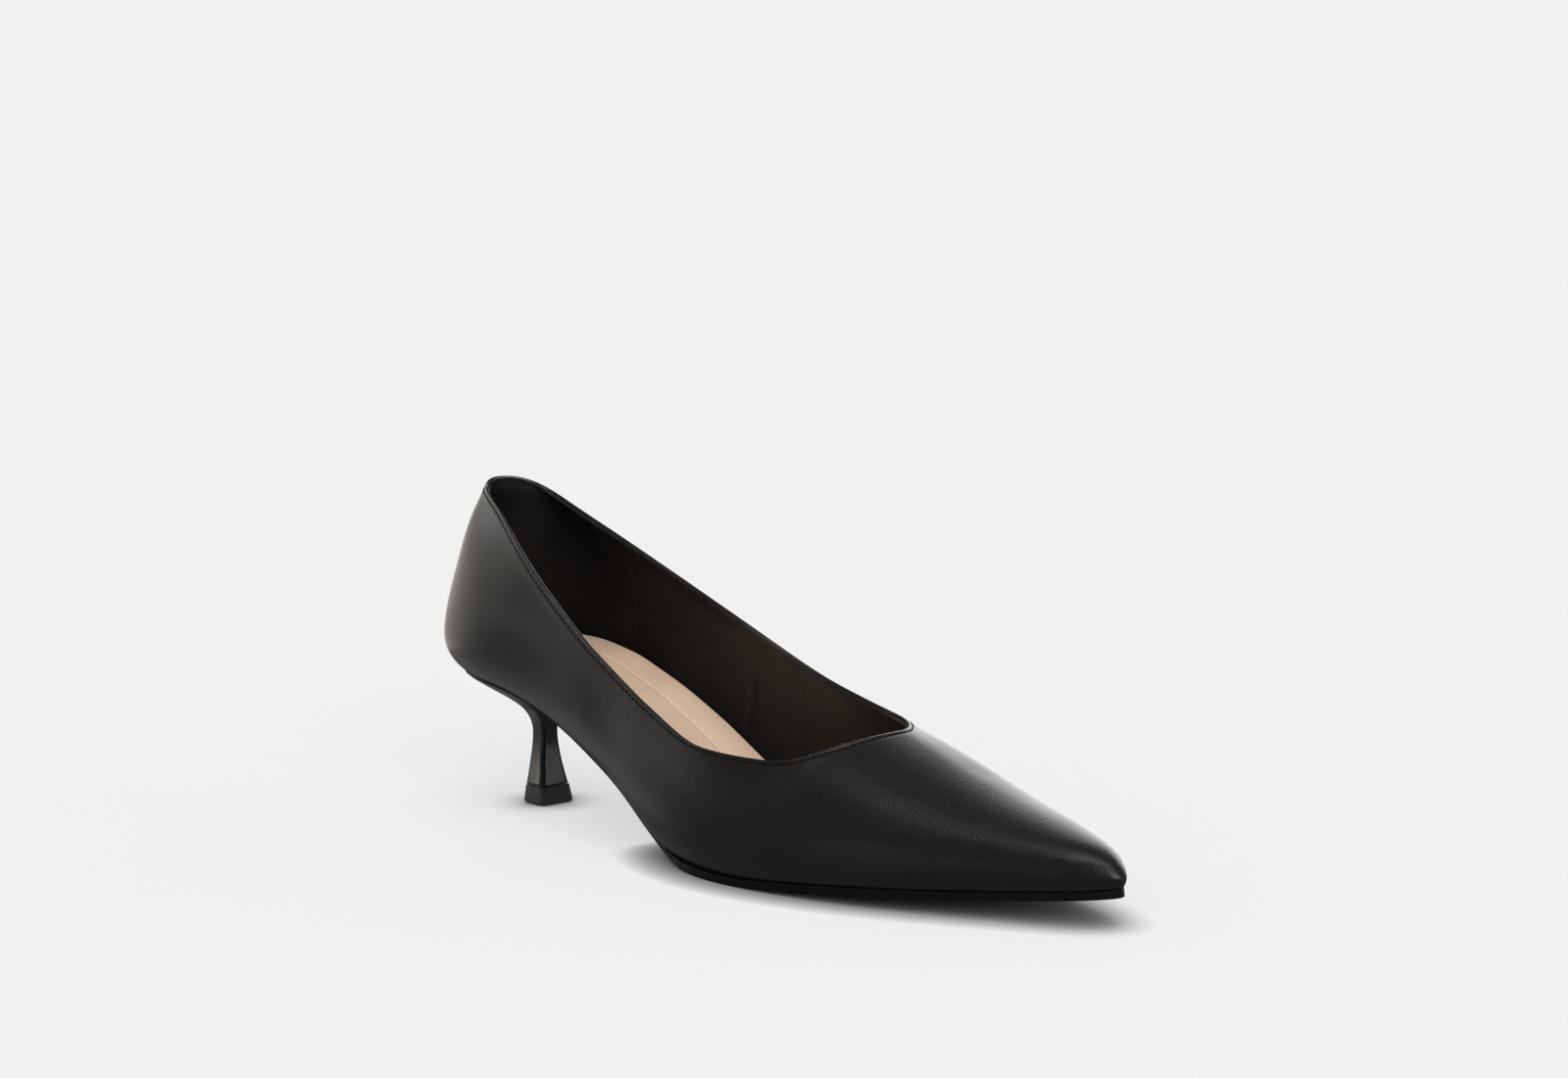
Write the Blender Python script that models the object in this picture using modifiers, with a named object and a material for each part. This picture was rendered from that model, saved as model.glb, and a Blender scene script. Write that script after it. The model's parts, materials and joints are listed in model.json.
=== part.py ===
"""Right pointed toe pump on a flared kitten heel: upper, insole, outsole, heel and heel tip.

Tables and sizes are in millimetres and the meshes in metres. X runs from the back of the heel
to the toe, +Y is the inner (medial) side of the foot, Z is up and the floor is at zero.
"""

import math

import bmesh
import bpy
import numpy as np

MM = 0.001

# Driving sizes
LENGTH = 262.5  # back of the heel to the toe point, along the floor
BALL_WIDTH = 74.0  # across the upper at the ball of the foot
INSTEP_HEIGHT = 66.0  # feather edge to the ridge of the last at the instep
HEEL_HEIGHT = 42.6  # floor to the feather edge at the back
BACK_HEIGHT = 56.0  # feather edge to the topline, up the back
VAMP_LENGTH = 83.0  # toe point to the front of the throat
TOE_ROUNDING = 11.0  # length over which the toe closes to its point

# Gauges of the materials, and the gap that is kept between two pieces
WALL = 1.8  # leather and lining of the upper together
INSOLE_GAUGE = 4.0  # board, foam and sock together
TREAD_GAUGE = 2.3  # outsole under the forefoot
WAIST_GAUGE = 1.2  # outsole under the waist and the heel seat
SEAM = 0.3
MERGE = 0.001  # points nearer than this are one point

LATERAL, MEDIAL = -1, 1


def percent_table(columns, scales, rows):
    """Columns of a table whose cells are percents of the driving size named for each column."""
    cells = np.array(rows, float) / 100.0
    return {name: cells[:, i] * scales[i] for i, name in enumerate(columns)}


# The last, one row for each section from the widest part of the heel to the toe. The section's
# axis, its feather edge on either side, the swell of the wall past that edge and the height of
# the swell, the ridge over the foot and how far inward it lies from the axis, and the lift of the
# feather edge along the inner arch.
LAST = percent_table(
    ("station", "axis", "lateral", "medial", "lateral_swell", "medial_swell", "swell_height",
     "ridge", "crest", "arch"),
    (LENGTH, BALL_WIDTH, BALL_WIDTH, BALL_WIDTH, BALL_WIDTH, BALL_WIDTH, INSTEP_HEIGHT,
     INSTEP_HEIGHT, BALL_WIDTH, HEEL_HEIGHT),
    (
        (12.2, 0.0, 33.6, 34.0, 6.4, 5.8, 19.5, 83.5, 0.0, 0.0),
        (17.6, 0.0, 32.8, 33.4, 6.4, 6.0, 24.0, 86.5, 0.0, 0.0),
        (23.7, 0.0, 31.6, 32.8, 6.8, 6.8, 28.0, 94.0, 0.8, 0.8),
        (34.4, -1.2, 31.4, 33.0, 7.8, 8.0, 30.0, 99.0, 2.5, 4.8),
        (43.9, -3.0, 35.8, 34.0, 7.8, 8.6, 28.5, 96.0, 4.0, 8.6),
        (53.4, -3.6, 42.4, 38.6, 6.6, 7.2, 24.0, 84.0, 5.5, 0.0),
        (63.0, 0.0, 44.8, 44.8, 4.8, 4.6, 19.0, 67.0, 6.0, 0.0),
        (72.5, 4.4, 41.8, 41.6, 3.4, 3.2, 15.5, 51.5, 5.0, 0.0),
        (82.1, 8.4, 32.0, 31.8, 2.6, 2.4, 12.8, 36.6, 3.0, 0.0),
        (91.6, 11.6, 19.6, 19.2, 2.0, 2.0, 10.5, 24.2, 1.0, 0.0),
        (100.0, 12.8, 7.6, 7.4, 1.4, 1.4, 7.5, 13.2, 0.0, 0.0),
    ),
)

# Height of the feather edge along the outer side: heel seat, shank, tread and toe spring.
SEAT = percent_table(
    ("station", "height"),
    (LENGTH, HEEL_HEIGHT),
    (
        (0.0, 100.0),
        (7.6, 99.2),
        (15.3, 94.4),
        (22.9, 80.5),
        (32.4, 53.0),
        (42.0, 19.8),
        (47.0, 8.6),
        (51.5, 6.1),
        (58.0, 6.1),
        (63.0, 8.0),
        (69.5, 11.4),
        (78.2, 14.8),
        (88.5, 19.7),
        (100.0, 26.5),
    ),
)
TREAD_START = SEAT["station"][7]  # the outsole lies on the floor from here to the next row
WAIST_END = SEAT["station"][5]  # and is thin and narrow up to here

# Height of the topline over the floor on either side, from the top of the back forward.
TOPLINE = percent_table(
    ("station", "lateral", "medial"),
    (LENGTH, HEEL_HEIGHT + BACK_HEIGHT, HEEL_HEIGHT + BACK_HEIGHT),
    (
        (4.05, 100.0, 100.0),
        (5.3, 98.0, 97.0),
        (7.6, 96.0, 93.2),
        (12.2, 91.2, 86.6),
        (17.2, 84.4, 79.8),
        (24.8, 71.8, 71.0),
        (34.4, 56.6, 62.4),
        (43.9, 45.8, 56.0),
        (53.4, 38.6, 49.2),
        (63.0, 37.2, 44.0),
    ),
)

# The back curve: how far the wall stands in from the rearmost point, up from the feather edge.
BACK_CURVE = percent_table(
    ("height", "inset"),
    (BACK_HEIGHT, BACK_HEIGHT),
    ((0.0, 8.0), (4.0, 2.0), (9.0, -2.0), (15.0, -3.2), (36.0, 1.0), (70.0, 11.6), (100.0, 19.0)),
)

HEEL_STATION = LAST["station"][0]  # the heel is round behind this section
SEAT_BACK = BACK_CURVE["inset"][0]  # station of the feather edge at the back
THROAT_STATION = LENGTH - VAMP_LENGTH
VAMP_STATION = 0.45 * LENGTH  # forward of it the ribs turn round the throat
SWELL_SHARE = 0.30  # share of a half section that lies below its widest point
SWELL_ROUNDNESS = 2.6  # how soon the wall gets upright on its way there from the feather edge
NOSE_SHARE = 0.88  # share of the middle rib that runs along the ridge, before the nose
RIDGE_CROWDING = 0.25  # how much the points along the ridge crowd towards the nose
TOE_LOW = 0.45  # share of its height that the last keeps at the toe point
NOSE_SWELL = 1.8  # how far the nose of the toe stands past its feather edge
NOSE_LOWNESS = 0.6  # below one, how low on the nose it stands out most
COLLAR_SQUARENESS = 6.0  # how much squarer than an ellipse the collar is round the back
COLLAR_LATENESS = 6.0  # how late up the back it gets so
ARCH_POWER = 1.5  # how late the seat rises on its way to the inner arch
SHARP_ANGLE = 40.0  # degrees past which an edge of the heel is shaded sharp


def smooth(stations, values, at, level=True):
    """A curve through a table's column that never overshoots it, and starts level or sloping."""
    gaps = np.diff(stations)
    slopes = np.diff(values) / gaps
    tangents = np.zeros(len(values))
    for i in range(1, len(slopes)):
        before, after = slopes[i - 1], slopes[i]
        if before * after > 0:
            near, far = 2 * gaps[i] + gaps[i - 1], gaps[i] + 2 * gaps[i - 1]
            tangents[i] = (near + far) / (near / before + far / after)
    tangents[0] = 0.0 if level else slopes[0]
    tangents[-1] = slopes[-1]
    i = np.clip(np.searchsorted(stations, at) - 1, 0, len(gaps) - 1)
    t = np.clip((at - stations[i]) / gaps[i], 0.0, 1.0)
    rise, fall = t * t * (3 - 2 * t), t * (t - 1) ** 2
    return (values[i] * (1 - rise) + values[i + 1] * rise
            + gaps[i] * (tangents[i] * fall + tangents[i + 1] * t * t * (t - 1)))


def last_column(name, x):
    return smooth(LAST["station"], LAST[name], x)


def seat_height(x):
    return smooth(SEAT["station"], SEAT["height"], x)


def rounded_share(distance, length):
    """Share of the full width at a distance from a round end that closes over this length."""
    t = np.clip(distance / length, 0.0, 1.0)
    return np.sqrt(1 - (1 - t) ** 2)


def toe_share(x):
    return rounded_share(LENGTH - x, TOE_ROUNDING)


def side_column(name, x, side):
    return last_column(("lateral" if side == LATERAL else "medial") + name, x)


def feather_height(x, side):
    return seat_height(x) + (last_column("arch", x) if side == MEDIAL else 0.0)


def last_point(x, climb, side):
    """A point of the last at station x, climbing from the feather edge (0) to the ridge (1)."""
    axis = last_column("axis", x)
    closing = toe_share(x)
    edge = side_column("", x, side) * closing
    widest = edge + side_column("_swell", x, side) * closing
    low = feather_height(x, side)
    keep = TOE_LOW + (1 - TOE_LOW) * closing
    swell = low + last_column("swell_height", x) * keep
    ridge = seat_height(x) + last_column("ridge", x) * keep
    crest = side * last_column("crest", x)
    if climb < SWELL_SHARE:
        t = climb / SWELL_SHARE
        width = widest - (widest - edge) * (1 - t) ** SWELL_ROUNDNESS
        height = low + (swell - low) * t
    else:
        angle = (climb - SWELL_SHARE) / (1 - SWELL_SHARE) * math.pi / 2
        width = crest + (widest - crest) * math.cos(angle)
        height = swell + (ridge - swell) * math.sin(angle)
    bulge = NOSE_SWELL * (1 - closing) * math.sin(math.pi * climb ** NOSE_LOWNESS)
    return np.array((x + bulge, axis + side * width, height))


def ridge_height(x):
    return last_point(x, 1.0, LATERAL)[2]


def topline_height(x, side):
    """The tabled topline, which meets the ridge of the last at the throat."""
    stations = np.append(TOPLINE["station"], THROAT_STATION)
    column = TOPLINE["lateral" if side == LATERAL else "medial"]
    heights = np.append(column, ridge_height(THROAT_STATION))
    return smooth(stations, heights, x, level=False)


def topline_climb(x, side):
    """How far up the section the topline cuts it, as last_point measures it."""
    swell = last_point(x, SWELL_SHARE, side)[2]
    share = (topline_height(x, side) - swell) / (ridge_height(x) - swell)
    angle = math.asin(min(max(share, 0.0), 1.0))
    return SWELL_SHARE + (1 - SWELL_SHARE) * angle / (math.pi / 2)


def quarter_rib(x, side):
    """Points down a section from the topline to the feather edge."""
    top = topline_climb(x, side)
    return np.array([last_point(x, climb, side) for climb in np.linspace(top, 0.0, RIB_SAMPLES)])


def heel_rib(angle, side):
    """Points down the heel, turned from the back (0) to its widest section (a right angle).

    The wall runs into that section with the section's own flare, and is squarer at the collar.
    """
    beside, ahead = quarter_rib(HEEL_STATION, side), quarter_rib(HEEL_STATION + 1.0, side)
    rise = (beside[:, 2] - beside[-1, 2]) / (beside[0, 2] - beside[-1, 2])
    inset = smooth(BACK_CURVE["height"], BACK_CURVE["inset"], rise * BACK_HEIGHT, level=False)
    reach = HEEL_STATION - inset
    x = HEEL_STATION - reach * math.cos(angle)
    flare = (ahead[:, 1] - beside[:, 1]) * reach
    squareness = 2.0 + COLLAR_SQUARENESS * rise ** COLLAR_LATENESS
    round_part = np.sqrt(1.0 - math.cos(angle) ** squareness)
    y = (beside[:, 1] - flare) * round_part + flare * (1.0 - math.cos(angle))
    low, high = seat_height(x[-1]), topline_height(x[0], side)
    return np.column_stack((x, y, low + (high - low) * rise))


def vamp_rib(turn, side):
    """Points from the topline to the feather edge, turning from a plain section (0) to the
    middle line along the ridge and down the nose of the toe (1).

    The rib is drawn on the plane of station and climb. A straight line there joins its two ends,
    and the share of the middle line's own bow that it takes grows with the turn.
    """
    t = np.linspace(0.0, 1.0, RIB_SAMPLES)
    top_x = THROAT_STATION - (THROAT_STATION - VAMP_STATION) * (1 - turn) ** 2
    low_x = LENGTH - (LENGTH - VAMP_STATION) * (1 - turn) ** 2
    along_ridge = np.minimum(t / NOSE_SHARE, 1.0)
    down_nose = np.maximum((t - NOSE_SHARE) / (1 - NOSE_SHARE), 0.0)
    ridge_x = LENGTH - (LENGTH - THROAT_STATION) * (1 - along_ridge) ** (1 + RIDGE_CROWDING)
    bow_x = ridge_x - (THROAT_STATION + (LENGTH - THROAT_STATION) * t)
    bow_climb = t - down_nose
    x = top_x + (low_x - top_x) * t + turn * bow_x
    climb = topline_climb(top_x, side) * (1 - t) + turn * bow_climb
    return np.array([last_point(a, b, side) for a, b in zip(x, climb)])


# Lines of the upper's surface: their number in each region, and their rows
RIB_SAMPLES = 90
HEEL_RIBS, QUARTER_RIBS, VAMP_RIBS = 8, 10, 15
EDGE_ROWS = (0.0, 1.0, 3.0)  # distances from the topline, and from the feather edge, of its rows
MIDDLE_ROWS = 12
TOE_CROWDING = 0.6  # how much the rows of the middle rib crowd towards the toe


def spaced_rows(rib, crowding=0.0):
    """The rib's points at the edge rows' distances, and between them at even spaces or at spaces
    that crowd towards the feather edge."""
    run = np.append(0.0, np.cumsum(np.linalg.norm(np.diff(rib, axis=0), axis=1)))
    top, low = EDGE_ROWS[-1], run[-1] - EDGE_ROWS[-1]
    left = np.linspace(1.0, 0.0, MIDDLE_ROWS + 2)[1:-1]
    middle = low - (low - top) * left ** (1.0 + crowding)
    rows = np.concatenate((EDGE_ROWS, middle, run[-1] - np.array(EDGE_ROWS[::-1])))
    return np.column_stack([np.interp(rows, run, rib[:, axis]) for axis in range(3)])


def upper_ribs(side):
    """One side's ribs from the back of the heel round to the middle of the toe."""
    ribs = [spaced_rows(heel_rib(angle, side))
            for angle in np.linspace(0, math.pi / 2, HEEL_RIBS, endpoint=False)]
    ribs += [spaced_rows(quarter_rib(x, side))
             for x in np.linspace(HEEL_STATION, VAMP_STATION, QUARTER_RIBS, endpoint=False)]
    ribs += [spaced_rows(vamp_rib(turn, side), TOE_CROWDING * turn)
             for turn in np.linspace(0, 1, VAMP_RIBS)]
    return ribs


def surface(name, lines, closed):
    """An open surface through lines of points, each joined to the next."""
    mesh = bpy.data.meshes.new(name)
    sheet = bmesh.new()
    rows = [[sheet.verts.new(point * MM) for point in line] for line in lines]
    for a, b in zip(rows, rows[1:] + rows[:1] if closed else rows[1:]):
        for i in range(len(a) - 1):
            sheet.faces.new((a[i], a[i + 1], b[i + 1], b[i]))
    bmesh.ops.remove_doubles(sheet, verts=sheet.verts, dist=MERGE * MM)
    bmesh.ops.recalc_face_normals(sheet, faces=sheet.faces)
    sheet.to_mesh(mesh)
    sheet.free()
    mesh.shade_smooth()
    return bpy.data.objects.new(name, mesh)


def solidify(sheet, gauge):
    """Gives a sheet its gauge on the side that its faces look away from."""
    shell = sheet.modifiers.new("gauge", "SOLIDIFY")
    shell.thickness = gauge * MM
    shell.offset = -1.0
    shell.use_even_offset = True
    return shell


def make_upper():
    """One hollow wall, open at the collar and underneath."""
    lateral, medial = upper_ribs(LATERAL), upper_ribs(MEDIAL)
    upper = surface("upper", lateral + medial[-2:0:-1], closed=True)
    solidify(upper, WALL)
    return upper


# Plates: the outsole and the insole are chords from edge to edge of an outline
PLATE_STATIONS, PLATE_COLUMNS = 58, 6
OUTSOLE_PROUD = 0.2  # how far the outsole's edge stands past the feather edge at the ball
OUTSOLE_SHY = 1.2  # how far it stays inside that edge at the waist and the heel
INSOLE_INSET = 2.3  # from the feather edge in to the insole's edge
INSOLE_TOE_INSET = 7.0  # the insole stops short of the toe by this much


def heel_share(x):
    return rounded_share(x - SEAT_BACK, HEEL_STATION - SEAT_BACK)


def feather_outline(front):
    """The feather edge on either side, in plan, closed at this station in front."""
    turn = np.linspace(0.0, math.pi, PLATE_STATIONS)
    stations = (SEAT_BACK + front) / 2 - (front - SEAT_BACK) / 2 * np.cos(turn)
    closing = heel_share(stations) * rounded_share(front - stations, TOE_ROUNDING)
    sides = []
    for side in (LATERAL, MEDIAL):
        y = last_column("axis", stations) + side * side_column("", stations, side) * closing
        sides.append(np.column_stack((stations, y)))
    return sides


def offset_outline(sides, distance):
    """Moves an outline out from its middle by a distance for each station."""
    lateral, medial = sides
    loop = np.vstack((lateral, medial[-2:0:-1]))
    away = np.concatenate((distance, distance[-2:0:-1]))
    along = np.roll(loop, -1, axis=0) - np.roll(loop, 1, axis=0)
    along /= np.linalg.norm(along, axis=1)[:, None]
    loop = loop + np.column_stack((along[:, 1], -along[:, 0])) * away[:, None]
    count = len(lateral)
    return loop[:count], np.vstack((loop[:1], loop[count:][::-1], loop[count - 1:count]))


def plate_height(x, across):
    """Height of the seat, which rises towards the inner arch; across runs from -1 to 1."""
    return seat_height(x) + last_column("arch", x) * np.clip(across, 0.0, 1.0) ** ARCH_POWER


def steepness(x):
    """How much longer a gauge is straight up than square to the sloping seat."""
    return np.sqrt(1 + (seat_height(x + 0.5) - seat_height(x - 0.5)) ** 2)


def plate_lines(sides, rise):
    """Chords of a plate at a rise over the seat, running from its outer to its inner edge."""
    lines = []
    for outer, inner in zip(*sides):
        across = np.linspace(-1.0, 1.0, PLATE_COLUMNS + 1)[:, None]
        plan = outer + (inner - outer) * (across + 1) / 2
        height = plate_height(plan[:, 0], across[:, 0]) + rise * steepness(plan[:, 0])
        lines.append(np.column_stack((plan, height)))
    return lines


def face_up(plate):
    """Turns a plate's faces upwards."""
    if sum(face.normal.z * face.area for face in plate.data.polygons) < 0:
        plate.data.flip_normals()
    return plate


def tread_share(x):
    """Share of the full gauge that the outsole has: all at the tread, less from the waist back."""
    t = np.clip((x - WAIST_END) / (TREAD_START - WAIST_END), 0.0, 1.0)
    return (WAIST_GAUGE + (TREAD_GAUGE - WAIST_GAUGE) * t * t * (3 - 2 * t)) / TREAD_GAUGE


def make_outsole():
    """A thin plate under the whole foot, flat on the floor at the tread."""
    sides = feather_outline(LENGTH)
    stations = sides[0][:, 0]
    tread = (tread_share(stations) - tread_share(SEAT_BACK)) / (1 - tread_share(SEAT_BACK))
    proud = OUTSOLE_PROUD * tread * toe_share(stations) - OUTSOLE_SHY * (1 - tread)
    lines = plate_lines(offset_outline(sides, proud), -SEAM)
    outsole = face_up(surface("outsole", lines, closed=False))
    gauge = outsole.vertex_groups.new(name="gauge")
    for vertex in outsole.data.vertices:
        gauge.add([vertex.index], float(tread_share(vertex.co.x / MM)), "REPLACE")
    solidify(outsole, TREAD_GAUGE).vertex_group = gauge.name
    return outsole


def make_insole():
    """The sock and its board, lying on the outsole inside the wall of the upper."""
    sides = feather_outline(LENGTH - INSOLE_TOE_INSET)
    inset = np.full(PLATE_STATIONS, -INSOLE_INSET)
    lines = plate_lines(offset_outline(sides, inset), INSOLE_GAUGE + SEAM)
    insole = face_up(surface("insole", lines, closed=False))
    solidify(insole, INSOLE_GAUGE)
    return insole


# The heel, one row for each level from the floor up: its back, its widest place and its breast
# along the shoe, its half width, how square it is, and the share of the seat's slope it takes.
HEEL_COLUMNS = ("height", "back", "widest", "breast", "half_width", "square", "tilt")
HEEL_TIP_LEVELS = (
    (0.0, 28.3, 32.9, 36.9, 5.9, 6.0, 0.0),
    (0.6, 27.7, 32.6, 37.5, 6.5, 8.0, 0.0),
    (5.4, 27.9, 32.2, 36.5, 5.8, 8.0, 0.0),
)
HEEL_LEVELS = (
    (5.7, 28.0, 32.1, 36.3, 5.6, 8.0, 0.0),
    (9.0, 28.1, 31.9, 35.7, 4.9, 7.5, 0.0),
    (12.0, 28.2, 31.6, 35.1, 4.3, 7.0, 0.0),
    (16.0, 28.4, 31.4, 34.5, 3.65, 6.5, 0.0),
    (20.0, 28.6, 31.3, 34.2, 3.2, 6.0, 0.0),
    (23.5, 28.4, 31.3, 34.2, 3.1, 5.5, 0.0),
    (26.5, 27.1, 31.0, 34.6, 3.7, 4.5, 0.1),
    (29.5, 24.5, 30.2, 35.4, 5.3, 3.6, 0.25),
    (32.5, 17.4, 29.0, 36.4, 9.2, 3.0, 0.45),
    (35.0, 11.4, 27.8, 37.5, 13.4, 2.6, 0.7),
    (37.0, 8.2, 26.8, 38.6, 16.6, 2.3, 0.9),
    (38.4, 7.0, 26.2, 39.6, 19.4, 2.1, 1.0),
)
SEAT_PLACE = (6.8, 26.0, 40.4, 21.6)  # back, widest place, breast and half width of the seat
SEAT_RINGS = (0.75, 0.5, 0.25)  # sizes of the rings that carry the seat's hollow to its middle
HEEL_POINTS = 32


def seat_under(x, y):
    """Height of the outsole's underside over the heel, less a seam."""
    across = (y - last_column("axis", x)) / last_column("medial", x)
    return plate_height(x, across) - (2 * SEAM + WAIST_GAUGE) * steepness(x)


def squared(value, square):
    return math.copysign(abs(value) ** (2.0 / square), value)


def heel_ring(back, widest, breast, half_width, square):
    """A rounded rectangle in plan, longer behind its widest place than before it or the reverse."""
    ring = []
    for i in range(HEEL_POINTS):
        angle = 2 * math.pi * (i + 0.5) / HEEL_POINTS
        along, beside = squared(math.cos(angle), square), squared(math.sin(angle), square)
        reach = widest - back if along > 0 else breast - widest
        ring.append((widest - reach * along, half_width * beside))
    return ring


def level_ring(level):
    """The ring of one level of the heel, tilted towards the slope of the seat."""
    row = dict(zip(HEEL_COLUMNS, level))
    plan = heel_ring(row["back"], row["widest"], row["breast"], row["half_width"], row["square"])
    middle = seat_under(row["widest"], 0.0)
    return [(x, y, row["height"] + row["tilt"] * (seat_under(x, y) - middle)) for x, y in plan]


def within_sole(x, y):
    """Holds a point of the seat inside the outsole's edge."""
    half_width = side_column("", x, LATERAL if y < 0 else MEDIAL)
    limit = half_width * heel_share(x) - OUTSOLE_SHY
    return x, max(-limit, min(limit, y))


def seat_ring(size):
    """A ring of the heel's top, which fits the underside of the outsole."""
    back, widest, breast, half_width = SEAT_PLACE
    ring = []
    for x, y in heel_ring(back, widest, breast, half_width, 2.0):
        x, y = within_sole(x, y)
        x, y = widest + (x - widest) * size, y * size
        ring.append((x, y, seat_under(x, y)))
    return ring


def stacked(name, rings):
    """A closed solid through rings of points, with a flat cap at its first and last ring."""
    mesh = bpy.data.meshes.new(name)
    solid = bmesh.new()
    loops = [[solid.verts.new(np.array(point) * MM) for point in ring] for ring in rings]
    for low, high in zip(loops, loops[1:]):
        for i in range(len(low)):
            j = (i + 1) % len(low)
            solid.faces.new((low[i], low[j], high[j], high[i]))
    solid.faces.new(loops[0])
    solid.faces.new(loops[-1])
    bmesh.ops.recalc_face_normals(solid, faces=solid.faces)
    solid.to_mesh(mesh)
    solid.free()
    mesh.shade_smooth()
    mesh.set_sharp_from_angle(angle=math.radians(SHARP_ANGLE))
    return bpy.data.objects.new(name, mesh)


def make_heel():
    """A slender flared stem that sweeps back under the whole heel seat."""
    rings = [level_ring(level) for level in HEEL_LEVELS]
    rings += [seat_ring(size) for size in (1.0,) + SEAT_RINGS]
    return stacked("heel", rings)


def make_heel_tip():
    """The replaceable tip that the heel stands on."""
    return stacked("heel_tip", [level_ring(level) for level in HEEL_TIP_LEVELS])


# Finishes: colour, roughness and coat of each piece
FINISHES = {
    "upper": ((0.012, 0.011, 0.011, 1.0), 0.42, 0.1),
    "insole": ((0.60, 0.42, 0.29, 1.0), 0.62, 0.0),
    "outsole": ((0.010, 0.010, 0.010, 1.0), 0.55, 0.0),
    "heel": ((0.014, 0.013, 0.014, 1.0), 0.22, 0.5),
    "heel_tip": ((0.016, 0.015, 0.015, 1.0), 0.60, 0.0),
}


def finish(piece):
    colour, roughness, coat = FINISHES[piece.name]
    material = bpy.data.materials.new(piece.name)
    material.use_nodes = True
    shader = material.node_tree.nodes["Principled BSDF"]
    shader.inputs["Base Color"].default_value = colour
    shader.inputs["Roughness"].default_value = roughness
    shader.inputs["Coat Weight"].default_value = coat
    shader.inputs["Metallic"].default_value = 0.0
    piece.data.materials.append(material)


def middle_of(pieces):
    """The middle of the pieces' plan, from their corners."""
    depsgraph = bpy.context.evaluated_depsgraph_get()
    corners = np.array([corner for piece in pieces
                        for corner in piece.evaluated_get(depsgraph).bound_box])
    low, high = corners.min(axis=0), corners.max(axis=0)
    return (low[0] + high[0]) / 2, (low[1] + high[1]) / 2


def main():
    for old in list(bpy.data.objects):
        bpy.data.objects.remove(old)
    collection = bpy.data.collections.new("pointed_toe_pump")
    bpy.context.scene.collection.children.link(collection)
    pieces = [make_upper(), make_insole(), make_outsole(), make_heel(), make_heel_tip()]
    for piece in pieces:
        collection.objects.link(piece)
        finish(piece)
    bpy.context.view_layer.update()
    x, y = middle_of(pieces)
    shoe = bpy.data.objects.new("pump", None)
    shoe.location = (-x, -y, 0.0)
    collection.objects.link(shoe)
    for piece in pieces:
        piece.parent = shoe


main()
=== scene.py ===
import json
import math

import bpy
from mathutils import Matrix, Vector
from mathutils.bvhtree import BVHTree
from mathutils.kdtree import KDTree

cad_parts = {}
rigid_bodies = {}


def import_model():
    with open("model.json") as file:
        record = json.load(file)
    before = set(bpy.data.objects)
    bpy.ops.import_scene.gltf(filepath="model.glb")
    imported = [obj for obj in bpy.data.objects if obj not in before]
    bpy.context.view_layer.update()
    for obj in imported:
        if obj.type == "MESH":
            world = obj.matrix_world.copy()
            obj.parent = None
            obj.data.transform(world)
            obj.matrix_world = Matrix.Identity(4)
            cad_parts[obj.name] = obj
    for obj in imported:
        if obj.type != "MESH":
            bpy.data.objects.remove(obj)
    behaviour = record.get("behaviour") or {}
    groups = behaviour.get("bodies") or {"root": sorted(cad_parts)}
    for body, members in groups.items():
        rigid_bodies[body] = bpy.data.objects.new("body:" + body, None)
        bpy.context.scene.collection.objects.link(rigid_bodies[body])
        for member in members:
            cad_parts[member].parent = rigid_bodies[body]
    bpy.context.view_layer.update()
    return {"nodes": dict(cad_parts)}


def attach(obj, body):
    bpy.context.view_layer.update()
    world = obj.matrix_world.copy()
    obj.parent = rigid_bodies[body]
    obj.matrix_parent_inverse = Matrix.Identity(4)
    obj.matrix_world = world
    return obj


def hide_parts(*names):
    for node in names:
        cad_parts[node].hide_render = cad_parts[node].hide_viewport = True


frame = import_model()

for leftover in ("Camera", "Cube", "Light"):
    if leftover in bpy.data.objects:
        bpy.data.objects.remove(bpy.data.objects[leftover])

# The viewpoint. The shoe stands three-quarter on with its toe towards the right, seen from a
# little above through a long lens, low in a frame whose upper half is empty.
MM = 0.001
IMAGE_WIDTH, IMAGE_HEIGHT = 1600, 1100
AIM = Vector((-1.25, 1.0, 45.0)) * MM
AIM_PIXEL = (778.6, 716.4)
VIEW_AZIMUTH = math.radians(47.4)
VIEW_ELEVATION = math.radians(11.0)
VIEW_DISTANCE = 1.27
SENSOR = 36.0
LENS = 100.8
view_back = Vector((
    math.sin(VIEW_AZIMUTH) * math.cos(VIEW_ELEVATION),
    -math.cos(VIEW_AZIMUTH) * math.cos(VIEW_ELEVATION),
    math.sin(VIEW_ELEVATION),
))
bpy.ops.object.camera_add(
    location=AIM + VIEW_DISTANCE * view_back,
    rotation=(math.pi / 2 - VIEW_ELEVATION, 0.0, VIEW_AZIMUTH),
)
camera = bpy.context.object
camera.data.sensor_fit = "HORIZONTAL"
camera.data.sensor_width = SENSOR
camera.data.lens = LENS
camera.data.shift_x = (IMAGE_WIDTH / 2 - AIM_PIXEL[0]) / IMAGE_WIDTH
camera.data.shift_y = (AIM_PIXEL[1] - IMAGE_HEIGHT / 2) / IMAGE_WIDTH
bpy.context.scene.camera = camera
bpy.context.scene.view_settings.view_transform = "Standard"

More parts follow.
